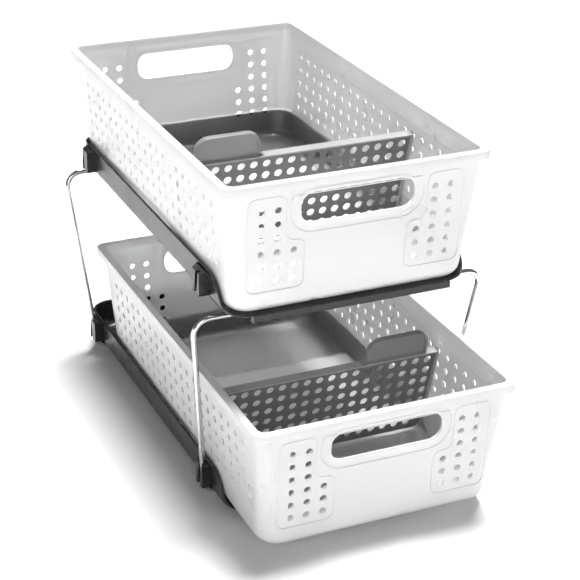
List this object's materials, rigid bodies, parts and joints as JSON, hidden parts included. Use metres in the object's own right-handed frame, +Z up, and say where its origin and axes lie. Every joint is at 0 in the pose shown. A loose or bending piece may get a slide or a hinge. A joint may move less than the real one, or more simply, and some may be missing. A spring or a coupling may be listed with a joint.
{
  "type": "pull-out cabinet organizer",
  "caption": "Two-tier cabinet organizer: frosted perforated drawer baskets slide on dark tray frames carried by bent chrome wire loops, with lift-out perforated dividers.",
  "frame": {"origin": "centre of the bounding box's base, on the shelf it stands on, with the lower basket drawn out", "axes": "+Z up, front towards -Y, +X to the right seen from the front"},
  "size_m": [0.2606, 0.4626, 0.2998],
  "materials": {
    "frosted_basket": "frosted",
    "frame_grey": "satin",
    "divider_grey": "satin",
    "chrome_wire": "polished"
  },
  "bodies": {
    "stand": {"lower_frame": "frame_grey", "upper_frame": "frame_grey", "front_wire": "chrome_wire", "back_wire": "chrome_wire"},
    "lower_drawer": {"lower_basket": "frosted_basket"},
    "upper_drawer": {"upper_basket": "frosted_basket"},
    "lower_partition": {"lower_divider": "divider_grey"},
    "upper_partition": {"upper_divider": "divider_grey"}
  },
  "joints": [
    {"name": "lower_drawer_slide", "type": "slide", "parent": "stand", "child": "lower_drawer", "axis": [0, -1, 0], "range_m": [-0.0625, 0.1175]},
    {"name": "upper_drawer_slide", "type": "slide", "parent": "stand", "child": "upper_drawer", "axis": [0, -1, 0], "range_m": [0, 0.18]},
    {"name": "lower_divider_lift", "type": "slide", "parent": "lower_drawer", "child": "lower_partition", "axis": [0, 0, 1], "range_m": [0, 0.05]},
    {"name": "upper_divider_lift", "type": "slide", "parent": "upper_drawer", "child": "upper_partition", "axis": [0, 0, 1], "range_m": [0, 0.09]}
  ]
}
